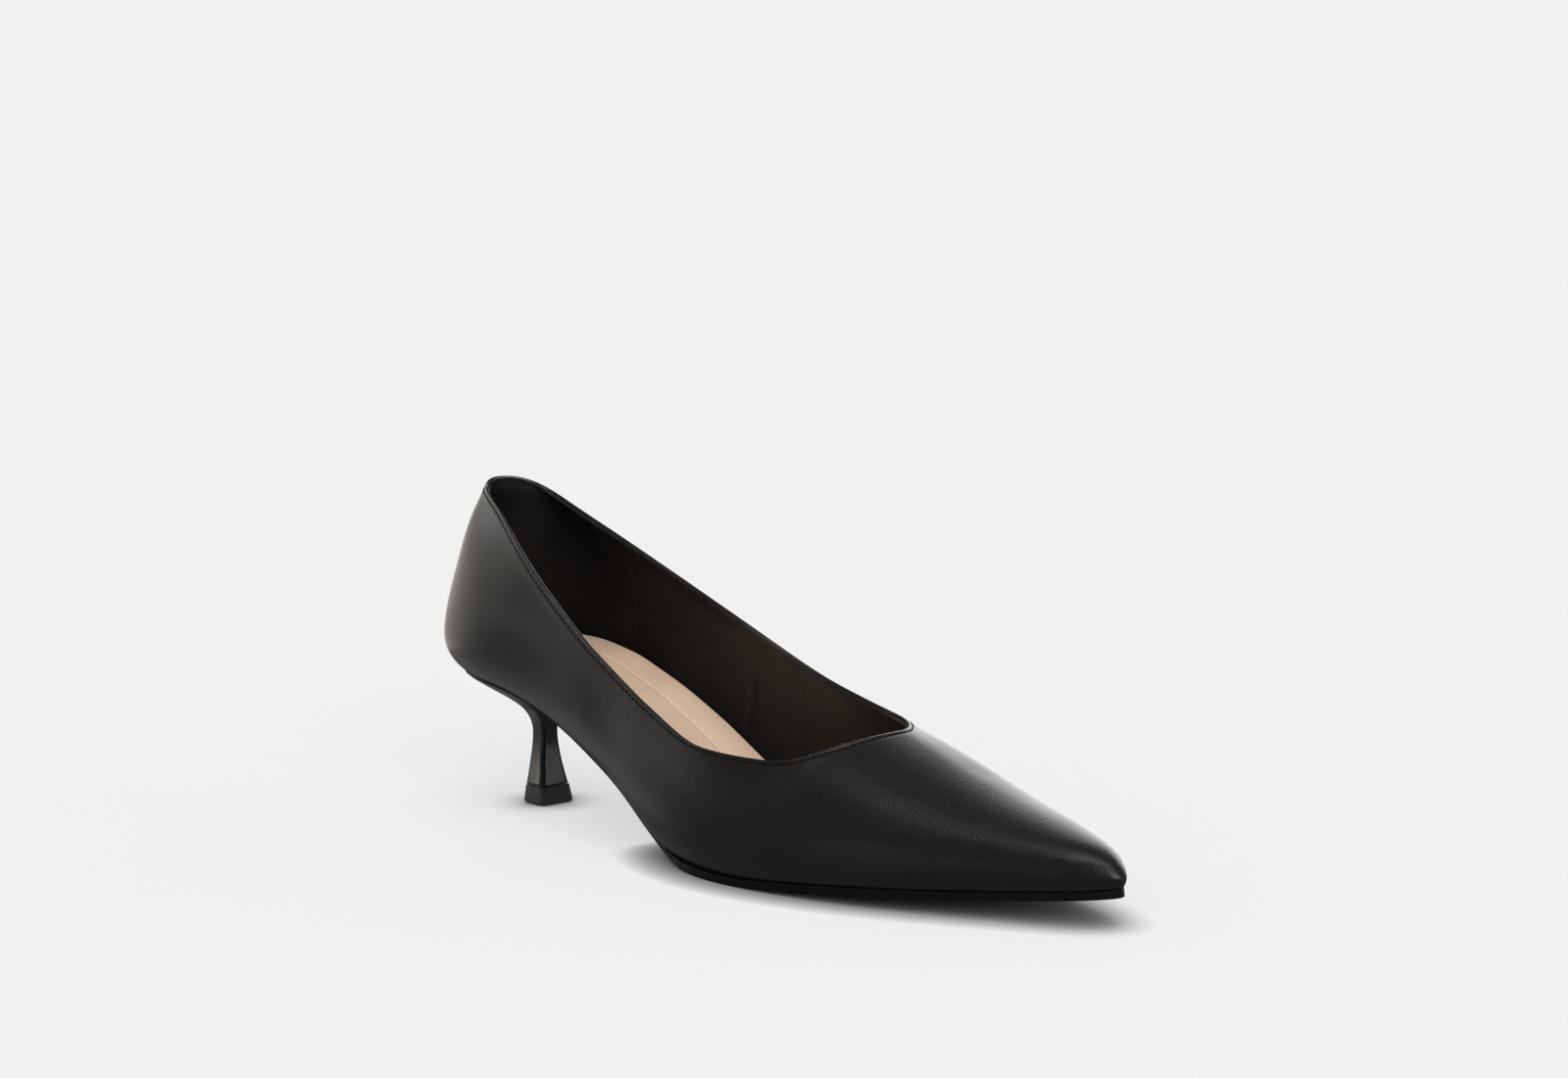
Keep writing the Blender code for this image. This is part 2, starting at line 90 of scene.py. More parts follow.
# The stage. A plain pale sheet of matt paper that glows evenly like a light table, with a painted
# contact shadow: its glow is dimmed where the shoe stands close to it. A pale wall stands far off
# all round. Soft lamps light it from above and all round, and panels give the leather its
# reflections: it mirrors neither the floor nor the wall.
FLOOR_SIZE = 24.0
FLOOR_DROP = 0.1 * MM
FLOOR_COLOURS = ((0.296, 0.296, 0.296), (0.304, 0.304, 0.304))
FLOOR_FIBRES = 900.0
FLOOR_GLOW = 0.60
WALL_GLOW = 0.57
WALL_RADIUS = 11.0
WALL_HEIGHT = 12.0
WALL_SIDES = 96
PAPER_ROUGHNESS = 0.9
# how far the painted contact shadow in the floor's glow reaches, and how steeply it fades
PAINTED_SHADOW_REACH = 13.0 * MM
PAINTED_SHADOW_POWER = 2.6
SKY_COLOUR = (1.0, 0.95, 0.90)
SKY_STRENGTH = 0.15
OVERHEAD_COLOUR = (0.98, 0.99, 1.0)
OVERHEAD_STRENGTH = 0.85
OVERHEAD_SPREAD = math.radians(40)
FRONT_STRENGTH = 1.75
FRONT_ELEVATION = math.radians(38)
FRONT_SPREAD = math.radians(55)
RING_COUNT = 8
RING_STRENGTH = 0.22
RING_ELEVATION = math.radians(20)
RING_SPREAD = math.radians(35)
LAMP_HEIGHT = 2.0
WARM = (1.0, 0.93, 0.86)
WHITE = (1.0, 1.0, 1.0)
MIDDLE_HALF = (0.25, 0.75)


def add_node(tree, kind, inputs, **settings):
    """A new node with some of its inputs and settings given."""
    node = tree.nodes.new(kind)
    for key, value in settings.items():
        setattr(node, key, value)
    for key, value in inputs.items():
        if isinstance(value, bpy.types.NodeSocket):
            tree.links.new(value, node.inputs[key])
        else:
            node.inputs[key].default_value = value
    return node


def place(tree, stretch=(1.0, 1.0, 1.0)):
    """Object coordinates, stretched for a pattern that runs one way."""
    coordinates = tree.nodes.new("ShaderNodeTexCoord").outputs["Object"]
    mapping = add_node(tree, "ShaderNodeMapping", {"Vector": coordinates, "Scale": stretch})
    return mapping.outputs["Vector"]


def cloud(tree, where, per_metre, detail=3.0):
    """Soft noise with so many blotches to the metre."""
    inputs = {"Vector": where, "Scale": per_metre, "Detail": detail}
    return add_node(tree, "ShaderNodeTexNoise", inputs).outputs["Fac"]


def between(tree, value, low, high):
    """The middle half of a pattern's values spread between two others."""
    start, end = MIDDLE_HALF
    inputs = {"Value": value, "From Min": start, "From Max": end, "To Min": low, "To Max": high}
    return add_node(tree, "ShaderNodeMapRange", inputs).outputs["Result"]


def tinted(tree, value, dark, light):
    """A colour that drifts between two others with a pattern."""
    ramp = add_node(tree, "ShaderNodeValToRGB", {"Fac": value})
    for element, position, colour in zip(ramp.color_ramp.elements, MIDDLE_HALF, (dark, light)):
        element.position = position
        element.color = (*colour, 1.0)
    return ramp.outputs["Color"]


def relief(tree, height, depth, under=None):
    """A surface normal roughened by a pattern of a real depth, over another if one is given."""
    node = add_node(tree, "ShaderNodeBump", {"Height": height, "Distance": depth})
    if under:
        tree.links.new(under, node.inputs["Normal"])
    return node.outputs["Normal"]


def finish(name, colours, tints, roughness, dulls=None, detail=3.0, stretch=(1.0, 1.0, 1.0)):
    """A new material that drifts between two colours, with so many tints to the metre, and between
    two roughnesses if so many dulls to the metre are given. Its tree, shader and place come too."""
    material = bpy.data.materials.new(name)
    material.use_nodes = True
    tree = material.node_tree
    shader = tree.nodes["Principled BSDF"]
    where = place(tree, stretch)
    shader.inputs["Base Color"].default_value = (*colours[0], 1.0)
    tree.links.new(tinted(tree, cloud(tree, where, tints), *colours), shader.inputs["Base Color"])
    if dulls:
        dulling = between(tree, cloud(tree, where, dulls, detail), *roughness)
        tree.links.new(dulling, shader.inputs["Roughness"])
    else:
        shader.inputs["Roughness"].default_value = roughness
    return material, tree, shader, where


def pale_paper_with_painted_shadow(name, strength):
    """Matt pale paper that glows evenly, with a painted contact shadow: the glow is dimmed where
    something stands close to it.
    """
    material, tree, shader, _ = finish(name, FLOOR_COLOURS, FLOOR_FIBRES, PAPER_ROUGHNESS)
    shader.inputs["Specular IOR Level"].default_value = 0.0
    shader.inputs["Emission Color"].default_value = (*WHITE, 1.0)
    # painted contact shadow: the glow is dimmed by how closely things stand round each point
    closeness_for_painted_shadow = add_node(tree, "ShaderNodeAmbientOcclusion", {"Distance": PAINTED_SHADOW_REACH})
    painted_shadow_inputs = {0: closeness_for_painted_shadow.outputs["AO"], 1: PAINTED_SHADOW_POWER}
    painted_shadow = add_node(tree, "ShaderNodeMath", painted_shadow_inputs, operation="POWER").outputs["Value"]
    glow = add_node(tree, "ShaderNodeMath", {0: painted_shadow, 1: strength}, operation="MULTIPLY")
    tree.links.new(glow.outputs["Value"], shader.inputs["Emission Strength"])
    return material


bpy.ops.object.select_all(action="DESELECT")
bpy.ops.mesh.primitive_plane_add(size=FLOOR_SIZE, location=(0.0, 0.0, -FLOOR_DROP))
floor = bpy.context.object
floor.name = "floor"
floor.visible_glossy = False
floor.visible_shadow = False
floor.data.materials.append(pale_paper_with_painted_shadow("pale_paper_with_painted_shadow", FLOOR_GLOW))
bpy.ops.mesh.primitive_cylinder_add(
    vertices=WALL_SIDES, radius=WALL_RADIUS, depth=WALL_HEIGHT, end_fill_type="NOTHING")
wall = bpy.context.object
wall.name = "wall"
bpy.ops.object.shade_smooth()
wall.visible_diffuse = False
wall.visible_glossy = False
wall.visible_shadow = False
wall.data.materials.append(pale_paper_with_painted_shadow("pale_wall", WALL_GLOW))

world = bpy.data.worlds.new("studio")
world.use_nodes = True
world.node_tree.nodes["Background"].inputs["Color"].default_value = (*SKY_COLOUR, 1.0)
world.node_tree.nodes["Background"].inputs["Strength"].default_value = SKY_STRENGTH
bpy.context.scene.world = world


def lamp_above(name, strength, spread, rotation):
    """A soft distant lamp that isn't itself mirrored."""
    bpy.ops.object.light_add(type="SUN", location=(0.0, 0.0, LAMP_HEIGHT), rotation=rotation)
    lamp = bpy.context.object
    lamp.name = name
    lamp.data.color = OVERHEAD_COLOUR
    lamp.data.energy = strength
    lamp.data.angle = spread
    lamp.visible_glossy = False


lamp_above("overhead", OVERHEAD_STRENGTH, OVERHEAD_SPREAD, (0.0, 0.0, 0.0))
front_turn = (math.pi / 2 - FRONT_ELEVATION, 0.0, VIEW_AZIMUTH)
lamp_above("front_lamp", FRONT_STRENGTH, FRONT_SPREAD, front_turn)
for step in range(RING_COUNT):
    turn = (math.pi / 2 - RING_ELEVATION, 0.0, 2 * math.pi * step / RING_COUNT)
    lamp_above("ring_lamp", RING_STRENGTH, RING_SPREAD, turn)


def panel(name, towards, distance, size, glow, colour, along=None):
    """A flat lamp of an even glow that faces the shoe from a direction and is only mirrored."""
    back = Vector(towards).normalized()
    across = (Vector(along) if along else Vector((0.0, 0.0, 1.0)).cross(back)).normalized()
    upward = back.cross(across).normalized()
    bpy.ops.object.light_add(type="AREA", location=AIM + back * distance)
    lamp = bpy.context.object
    lamp.name = name
    lamp.rotation_euler = Matrix((upward.cross(back), upward, back)).transposed().to_euler()
    lamp.data.shape = "RECTANGLE"
    lamp.data.size, lamp.data.size_y = size
    lamp.data.color = colour
    lamp.data.energy = glow * math.pi * size[0] * size[1]
    lamp.visible_camera = False
    lamp.visible_diffuse = False


panel("back_panel", towards=(-0.55, 0.80, 0.16), distance=1.3,
      size=(1.7, 1.1), glow=2.5, colour=WHITE)
panel("top_strip", towards=(0.304, -0.04, 0.952), distance=1.1,
      size=(0.80, 0.25), glow=3.8, colour=WHITE, along=(0.90, 0.43, 0.0))
panel("toe_panel", towards=(0.906, -0.03, 0.42), distance=1.1,
      size=(0.50, 0.60), glow=4.2, colour=WHITE)
panel("rear_panel", towards=(-0.77, -0.10, 0.62), distance=1.2,
      size=(0.60, 0.40), glow=2.0, colour=WHITE)
panel("left_panel", towards=(-0.210, -0.020, 0.045), distance=0.216,
      size=(0.20, 0.16), glow=0.95, colour=WARM)
panel("side_panel", towards=(-0.260, -0.110, 0.087), distance=0.295,
      size=(0.42, 0.19), glow=0.30, colour=WARM)
panel("low_panel", towards=(-0.180, -0.050, -0.055), distance=0.195,
      size=(0.10, 0.08), glow=0.35, colour=WARM)
panel("heel_panel", towards=(-0.74, -0.67, 0.03), distance=1.3,
      size=(0.16, 0.12), glow=1.6, colour=WARM)
panel("front_panel", towards=(0.066, -0.985, -0.10), distance=1.1,
      size=(0.50, 0.15), glow=0.8, colour=WHITE)
panel("right_panel", towards=(0.78, 0.62, 0.06), distance=1.3,
      size=(0.5, 0.4), glow=0.8, colour=WHITE)

# The upper's leather. One piece of smooth black calf pulled tight over the last, its topline edge
# folded over and stitched down, its lower edge drawn in under the shoe and glued to the insole.
LEATHER_GAUGE = 1.0 * MM
LEATHER_EDGE = 0.38 * MM
LEATHER_COLOURS = ((0.0046, 0.0040, 0.0036), (0.0080, 0.0070, 0.0064))
LEATHER_TINTS = 45.0  # tints, dulls, grain and waves are numbers to the metre
LEATHER_ROUGHNESS = (0.30, 0.38)
LEATHER_DULLS = 30.0
LEATHER_DETAIL = 5.0
LEATHER_SHINE = 0.42
GRAIN = 1750.0
GRAIN_SOFTNESS = 0.7
GRAIN_DEPTH = 0.065 * MM
GRAIN_PULLED = 0.35  # share of its depth that the grain keeps where the heel's stiffener pulls it
PULLED_FROM, PULLED_TO = 60.0 * MM, -50.0 * MM
WAVES = 160.0
WAVE_DEPTH = 0.02 * MM
STITCH_INSET = 1.25 * MM
CHANNEL_WIDTH = 0.40 * MM
CHANNEL_DEPTH = 0.22 * MM
FOLD_MIDDLE = 0.5 * MM
FOLD_WIDTH = 0.4 * MM
FOLD_SWELL = 0.12 * MM
FLARE = 0.55 * MM
FLARE_REACH = 2.6 * MM
# soft ridges and troughs of the vamp: start, end, half width and rise of each, in mm
FOLDS = (
    ((67.0, -24.5, 20.5), (119.0, -0.5, 18.5), 3.0, 0.32),
    ((33.0, -31.0, 36.0), (52.0, -27.5, 29.0), 4.0, -0.22),
    ((44.0, 17.0, 46.0), (74.0, 15.0, 36.0), 4.5, -0.25),
)
CORNER = math.radians(50)
MERGED = 0.01 * MM  # points nearer than this are one point
EDGE_PARTS = 8  # parts that each step of an edge is cut into, to measure from it


def select_only(piece):
    """Makes one object the only one that the next operators act on."""
    bpy.ops.object.select_all(action="DESELECT")
    piece.select_set(True)
    bpy.context.view_layer.objects.active = piece


def node_copy(node, name):
    """A merged copy of a CAD node, in four-sided faces where it was built of them."""
    piece = bpy.data.objects.new(name, frame["nodes"][node].data.copy())
    bpy.context.scene.collection.objects.link(piece)
    piece.data.materials.clear()
    select_only(piece)
    bpy.ops.object.mode_set(mode="EDIT")
    bpy.ops.mesh.select_all(action="SELECT")
    bpy.ops.mesh.remove_doubles(threshold=MERGED)
    bpy.ops.mesh.tris_convert_to_quads(
        face_threshold=math.pi, shape_threshold=math.pi, topology_influence=2.0)
    bpy.ops.mesh.customdata_custom_splitnormals_clear()
    bpy.ops.object.mode_set(mode="OBJECT")
    return piece


def modify(piece, kind, **settings):
    """Adds a modifier to a piece and applies it."""
    select_only(piece)
    modifier = piece.modifiers.new(kind.lower(), kind)
    for key, value in settings.items():
        setattr(modifier, key, value)
    bpy.ops.object.modifier_apply(modifier=modifier.name)


def keep_skin(piece, rank):
    """Keeps the one skin, bounded by corners, that holds the face with the highest rank."""
    select_only(piece)
    bpy.ops.object.mode_set(mode="EDIT")
    bpy.ops.mesh.select_mode(type="EDGE")
    bpy.ops.mesh.select_all(action="DESELECT")
    bpy.ops.mesh.edges_select_sharp(sharpness=CORNER)
    bpy.ops.mesh.mark_sharp()
    bpy.ops.mesh.select_mode(type="FACE")
    bpy.ops.mesh.select_all(action="DESELECT")
    bpy.ops.object.mode_set(mode="OBJECT")
    max(piece.data.polygons, key=rank).select = True
    bpy.ops.object.mode_set(mode="EDIT")
    bpy.ops.mesh.select_linked(delimit={"SHARP"})
    bpy.ops.mesh.select_all(action="INVERT")
    bpy.ops.mesh.delete(type="FACE")
    bpy.ops.mesh.select_mode(type="EDGE")
    bpy.ops.mesh.select_all(action="SELECT")
    bpy.ops.mesh.mark_sharp(clear=True)
    bpy.ops.object.mode_set(mode="OBJECT")


def open_edge(mesh, rank):
    """The points along the open edge that holds the point with the highest rank, in order."""
    uses = {}
    for face in mesh.polygons:
        for key in face.edge_keys:
            uses[key] = uses.get(key, 0) + 1
    beside = {}
    for a, b in (key for key, count in uses.items() if count == 1):
        beside.setdefault(a, []).append(b)
        beside.setdefault(b, []).append(a)
    first = max(beside, key=lambda i: rank(mesh.vertices[i].co))
    loop = [first, beside[first][0]]
    while True:
        ahead = [i for i in beside[loop[-1]] if i != loop[-2]][0]
        if ahead == first:
            return [mesh.vertices[i].co.copy() for i in loop]
        loop.append(ahead)


def finely(points):
    """A closed line of points with each of its steps cut into parts."""
    line = []
    for a, b in zip(points, points[1:] + points[:1]):
        line += [a.lerp(b, part / EDGE_PARTS) for part in range(EDGE_PARTS)]
    return line


def finder(points):
    """A search for the nearest of many points."""
    tree = KDTree(len(points))
    for i, point in enumerate(points):
        tree.insert(point, i)
    tree.balance()
    return tree


def surface_of(piece):
    """A piece's faces as a surface that rays can be cast at."""
    mesh = piece.data
    return BVHTree.FromPolygons([v.co for v in mesh.vertices], [f.vertices for f in mesh.polygons])


def bell(distance, width):
    """A soft rise that is one at no distance and fades over a width."""
    return math.exp(-(distance / width) ** 2)


def off_line(point, start, end):
    """How far a point lies from a straight line between two others."""
    along = end - start
    share = min(max((point - start).dot(along) / along.length_squared, 0.0), 1.0)
    return (point - start - along * share).length


def settle(piece, material):
    """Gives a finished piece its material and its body."""
    piece.data.materials.append(material)
    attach(piece, "root")


leather = node_copy("upper", "leather")
keep_skin(leather, lambda face: -face.center.x)
modify(leather, "SUBSURF", levels=2, render_levels=2)
to_topline = finder(finely(open_edge(leather.data, lambda point: point.z)))
outward = [vertex.normal.copy() for vertex in leather.data.vertices]
for vertex, normal in zip(leather.data.vertices, outward):
    flare = FLARE * bell(to_topline.find(vertex.co)[2], FLARE_REACH)
    vertex.co += Vector((normal.x, normal.y, 0.0)) * flare
lining = leather.copy()
lining.data = leather.data.copy()
lining.name = "lining"
bpy.context.scene.collection.objects.link(lining)

topline = open_edge(leather.data, lambda point: point.z)
to_topline = finder(finely(topline))
leather_skin = surface_of(leather)
outward = [vertex.normal.copy() for vertex in leather.data.vertices]
for vertex, normal in zip(leather.data.vertices, outward):
    depth = to_topline.find(vertex.co)[2]
    swell = FOLD_SWELL * bell(depth - FOLD_MIDDLE, FOLD_WIDTH)
    sink = CHANNEL_DEPTH * bell(depth - STITCH_INSET, CHANNEL_WIDTH)
    for start, end, width, rise in FOLDS:
        off = off_line(vertex.co, Vector(start) * MM, Vector(end) * MM)
        swell += rise * MM * bell(off, width * MM)
    vertex.co += normal * (swell - sink)
modify(leather, "SOLIDIFY", thickness=LEATHER_GAUGE, offset=-1.0, use_even_offset=True)
modify(leather, "BEVEL", width=LEATHER_EDGE, segments=4, limit_method="ANGLE", angle_limit=CORNER)
bpy.ops.object.shade_smooth()

material, tree, shader, where = finish(
    "black_calf", LEATHER_COLOURS, LEATHER_TINTS, LEATHER_ROUGHNESS, LEATHER_DULLS, LEATHER_DETAIL)
pebbles = add_node(
    tree, "ShaderNodeTexVoronoi",
    {"Vector": where, "Scale": GRAIN, "Smoothness": GRAIN_SOFTNESS},
    feature="SMOOTH_F1",
).outputs["Distance"]
along_shoe = add_node(tree, "ShaderNodeSeparateXYZ", {"Vector": where}).outputs["X"]
slack = add_node(tree, "ShaderNodeMapRange", {
    "Value": along_shoe,
    "From Min": PULLED_TO, "From Max": PULLED_FROM,
    "To Min": GRAIN_PULLED, "To Max": 1.0,
}).outputs["Result"]
pebbled = add_node(tree, "ShaderNodeMath", {0: pebbles, 1: slack}, operation="MULTIPLY")
grain = relief(tree, pebbled.outputs["Value"], GRAIN_DEPTH)
waved = relief(tree, cloud(tree, where, WAVES), WAVE_DEPTH, grain)
tree.links.new(waved, shader.inputs["Normal"])
shader.inputs["Specular IOR Level"].default_value = LEATHER_SHINE
settle(leather, material)
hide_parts("upper")

# The lining. Thin black leather glued inside the upper and turned over flush with its fold, with a
# separate grip round the heel that laps over it, and a soft crease where the far wall was pressed.
LINING_GAUGE = 0.72 * MM
LINING_EDGE = 0.32 * MM
LINING_GLUE = 0.06 * MM
LINING_DEPTH = LEATHER_GAUGE + LINING_GLUE
LINING_COLOURS = ((0.0034, 0.0030, 0.0029), (0.0060, 0.0054, 0.0051))
LINING_TINTS = 60.0
LINING_ROUGHNESS = (0.44, 0.54)
LINING_DULLS = 40.0
LINING_SHINE = 0.24
LINING_NAP = 1800.0
LINING_NAP_DEPTH = 0.05 * MM
GRIP_END = -87.8 * MM
GRIP_GAUGE = 0.35 * MM
GRIP_TOP = 3.0 * MM
GRIP_CUTS = (-0.5 * MM, -0.15 * MM, 0.15 * MM, 0.5 * MM)
CREASE_TOP = Vector((-35.4, 28.6, 41.4)) * MM
CREASE_FOOT = Vector((-36.9, 26.3, 29.5)) * MM
CREASE_CUTS = (-4.0, -2.6, -1.6, -0.8, 0.0, 0.8, 1.6, 2.6, 4.0)  # across it, in mm
CREASE_WIDTH = 1.7 * MM
CREASE_HEIGHT = 0.45 * MM
CREASE_FULL = 0.4  # share of its length, either way from its middle, over which it is full
CREASE_FADE = 0.35


def roughen(tree, shader, where, per_metre, depth):
    """Gives a finish a fine relief of a real depth."""
    fine = relief(tree, cloud(tree, where, per_metre), depth)
    tree.links.new(fine, shader.inputs["Normal"])


def cut(piece, point, square_to):
    """Cuts every face that a plane crosses, so that a line of the surface can follow the plane."""
    select_only(piece)
    bpy.ops.object.mode_set(mode="EDIT")
    bpy.ops.mesh.select_all(action="SELECT")
    bpy.ops.mesh.bisect(plane_co=point, plane_no=square_to)
    bpy.ops.object.mode_set(mode="OBJECT")


for step in GRIP_CUTS:
    cut(lining, (GRIP_END + step, 0.0, 0.0), (1.0, 0.0, 0.0))
crease_line = CREASE_TOP - CREASE_FOOT
crease_across = Vector((0.0, 1.0, 0.0)).cross(crease_line).normalized()
for step in CREASE_CUTS:
    cut(lining, CREASE_FOOT + crease_across * step * MM, crease_across)
modify(lining, "DISPLACE", strength=-LINING_DEPTH, mid_level=0.0)
outward = [vertex.normal.copy() for vertex in lining.data.vertices]
for vertex, normal in zip(lining.data.vertices, outward):
    if vertex.co.x < GRIP_END:
        depth = to_topline.find(vertex.co)[2] - LINING_DEPTH
        vertex.co -= normal * GRIP_GAUGE * min(max(depth / GRIP_TOP, 0.0), 1.0)
    if vertex.co.y > 0.0:
        off_crease = vertex.co - CREASE_FOOT
        share = off_crease.dot(crease_line) / crease_line.length_squared
        along = bell(max(0.0, abs(share - 0.5) - CREASE_FULL), CREASE_FADE)
        across = bell(off_crease.dot(crease_across), CREASE_WIDTH)
        vertex.co -= normal * CREASE_HEIGHT * along * across
modify(lining, "SOLIDIFY", thickness=LINING_GAUGE, offset=-1.0, use_even_offset=True)
modify(lining, "BEVEL", width=LINING_EDGE, segments=3, limit_method="ANGLE", angle_limit=CORNER)
bpy.ops.object.shade_smooth()
lining_wall = surface_of(lining)
material, tree, shader, where = finish(
    "black_lining", LINING_COLOURS, LINING_TINTS, LINING_ROUGHNESS, LINING_DULLS, LEATHER_DETAIL)
roughen(tree, shader, where, LINING_NAP, LINING_NAP_DEPTH)
shader.inputs["Specular IOR Level"].default_value = LINING_SHINE
settle(lining, material)

# The topline stitching. One row of black lockstitch round the whole collar, just below the folded
# edge, each stitch a short run of thread that dips into its needle holes at both ends.
STITCH_PITCH = 1.9 * MM
STITCH_LENGTH = 1.75 * MM
THREAD = 0.46 * MM
THREAD_COLOURS = ((0.0020, 0.0018, 0.0017), (0.0045, 0.0042, 0.0040))
THREAD_TINTS = 700.0
THREAD_ROUGHNESS = 0.6
THREAD_SHINE = 0.2
THREAD_PLY = 5200.0
THREAD_PLY_DEPTH = 0.06 * MM
STITCH_SIDES, STITCH_RINGS = 8, 6
STITCH_DIP = 0.5 * THREAD
STITCH_ENDS = 0.46 * STITCH_LENGTH  # from a stitch's middle to where it dips
STITCH_SINK = 0.5 * CHANNEL_DEPTH


def evenly(points, pitch):
    """Points and directions spaced evenly along a closed line, at about a pitch."""
    line = finely(points)
    run = [0.0]
    for a, b in zip(line, line[1:] + line[:1]):
        run.append(run[-1] + (b - a).length)
    count = round(run[-1] / pitch)
    spots = []
    i = 0
    for step in range(count):
        at = run[-1] * step / count
        while run[i + 1] < at:
            i += 1
        a, b = line[i], line[(i + 1) % len(line)]
        share = (at - run[i]) / (run[i + 1] - run[i])
        spots.append((a.lerp(b, share), (b - a).normalized()))
    return spots


row = []
for point, along in evenly(topline, STITCH_PITCH):
    normal = leather_skin.find_nearest(point)[1]
    below = along.cross(normal).normalized()
    if below.z > 0:
        below.negate()
    row.append(leather_skin.find_nearest(point + below * STITCH_INSET)[0])

bpy.ops.object.select_all(action="DESELECT")
bpy.ops.mesh.primitive_uv_sphere_add(
    segments=STITCH_SIDES, ring_count=STITCH_RINGS, radius=THREAD / 2,
    rotation=(0.0, math.pi / 2, 0.0))
stitching = bpy.context.object
stitching.name = "topline_stitching"
bpy.ops.object.transform_apply(location=True, rotation=True, scale=True)
bpy.ops.object.mode_set(mode="EDIT")
bpy.ops.mesh.select_all(action="SELECT")
bpy.ops.transform.resize(value=(STITCH_LENGTH / THREAD, 1.0, 1.0))
bpy.ops.mesh.select_all(action="DESELECT")
bpy.ops.object.mode_set(mode="OBJECT")
for vertex in stitching.data.vertices:
    vertex.select = abs(vertex.co.x) > STITCH_ENDS
bpy.ops.object.mode_set(mode="EDIT")
bpy.ops.transform.translate(value=(0.0, 0.0, -STITCH_DIP))
bpy.ops.object.mode_set(mode="OBJECT")
stitches = [stitching]
spots = evenly(row, STITCH_PITCH)
for spot in spots[1:]:
    stitch = bpy.data.objects.new("stitch", stitching.data.copy())
    bpy.context.scene.collection.objects.link(stitch)
    stitches.append(stitch)
for stitch, (spot, along) in zip(stitches, spots):
    normal = leather_skin.find_nearest(spot)[1]
    side = normal.cross(along).normalized()
    turn = Matrix((along, side, along.cross(side))).transposed().to_4x4()
    stitch.data.transform(Matrix.Translation(spot - normal * STITCH_SINK) @ turn)
bpy.ops.object.select_all(action="DESELECT")
for stitch in stitches:
    stitch.select_set(True)
bpy.context.view_layer.objects.active = stitching
bpy.ops.object.join()
bpy.ops.object.shade_smooth()
material, tree, shader, where = finish(
    "black_thread", THREAD_COLOURS, THREAD_TINTS, THREAD_ROUGHNESS)
roughen(tree, shader, where, THREAD_PLY, THREAD_PLY_DEPTH)
shader.inputs["Specular IOR Level"].default_value = THREAD_SHINE
settle(stitching, material)

# The outsole. A thin moulded sheet of black resin with a slightly shiny rounded edge, cemented
# under the upper from the heel seat to the toe, full under the forefoot and fine in the waist.
SOLE_EDGE = 0.9 * MM
SOLE_TOP_SHARE = 0.25
SOLE_COLOURS = ((0.0020, 0.0017, 0.0014), (0.0042, 0.0036, 0.0031))
SOLE_TINTS = 90.0
SOLE_ROUGHNESS = (0.40, 0.60)
SOLE_DULLS = 220.0
SOLE_SHINE = 0.14
SOLE_SCUFF = 1600.0
SOLE_SCUFF_DEPTH = 0.06 * MM


def select_corners(piece, wanted):
    """Selects the corner edges of a piece whose two faces look the wanted ways."""
    beside = {}
    for face in piece.data.polygons:
        for key in face.edge_keys:
            beside.setdefault(key, []).append(face.normal)
    select_only(piece)
    bpy.ops.object.mode_set(mode="EDIT")
    bpy.ops.mesh.select_mode(type="EDGE")
    bpy.ops.mesh.select_all(action="DESELECT")
    bpy.ops.object.mode_set(mode="OBJECT")
    for edge in piece.data.edges:
        normals = beside[edge.key]
        edge.select = normals[0].angle(normals[-1]) > CORNER and wanted(normals)


def smooth_between_corners(piece, levels):
    """Smooths a piece while its corners stay crisp."""
    select_corners(piece, lambda normals: True)
    bpy.ops.object.mode_set(mode="EDIT")
    bpy.ops.transform.edge_crease(value=1.0)
    bpy.ops.object.mode_set(mode="OBJECT")
    modify(piece, "SUBSURF", levels=levels, render_levels=levels)


sole = node_copy("outsole", "sole")
smooth_between_corners(sole, 2)
for share, looks_up in ((1.0, False), (SOLE_TOP_SHARE, True)):
    select_corners(sole, lambda normals: (sum(n.z for n in normals) > 0) == looks_up)
    bpy.ops.object.mode_set(mode="EDIT")
    bpy.ops.transform.edge_bevelweight(value=share)
    bpy.ops.object.mode_set(mode="OBJECT")
modify(sole, "BEVEL", width=SOLE_EDGE, segments=3, limit_method="WEIGHT", use_clamp_overlap=True)
bpy.ops.object.shade_smooth()
material, tree, shader, where = finish(
    "sole_resin", SOLE_COLOURS, SOLE_TINTS, SOLE_ROUGHNESS, SOLE_DULLS)
roughen(tree, shader, where, SOLE_SCUFF, SOLE_SCUFF_DEPTH)
shader.inputs["Specular IOR Level"].default_value = SOLE_SHINE
settle(sole, material)
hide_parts("outsole")

# The heel. A moulded block under a thin black lacquer, waisted to a slender stem that flares to
# the floor and sweeps back under the seat, screwed and glued through the insole from above.
HEEL_EDGE = 0.4 * MM
HEEL_COLOURS = ((0.0015, 0.0014, 0.0014), (0.0045, 0.0040, 0.0038))
HEEL_ROUGHNESS = (0.10, 0.30)
HEEL_STREAKS = 800.0
HEEL_STREAK_STRETCH = (1.0, 1.0, 0.05)  # the streaks run up the stem
HEEL_STREAK_DEPTH = 0.06 * MM
HEEL_LACQUER = 0.15
HEEL_LACQUER_ROUGHNESS = 0.08
heel_block = node_copy("heel", "heel_block")
smooth_between_corners(heel_block, 2)
modify(heel_block, "BEVEL", width=HEEL_EDGE, segments=2, limit_method="ANGLE", angle_limit=CORNER)
bpy.ops.object.shade_smooth()
material, tree, shader, where = finish(
    "heel_lacquer", HEEL_COLOURS, HEEL_STREAKS, HEEL_ROUGHNESS, HEEL_STREAKS,
    stretch=HEEL_STREAK_STRETCH)
roughen(tree, shader, where, HEEL_STREAKS, HEEL_STREAK_DEPTH)
shader.inputs["Coat Weight"].default_value = HEEL_LACQUER
shader.inputs["Coat Roughness"].default_value = HEEL_LACQUER_ROUGHNESS
settle(heel_block, material)
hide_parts("heel")

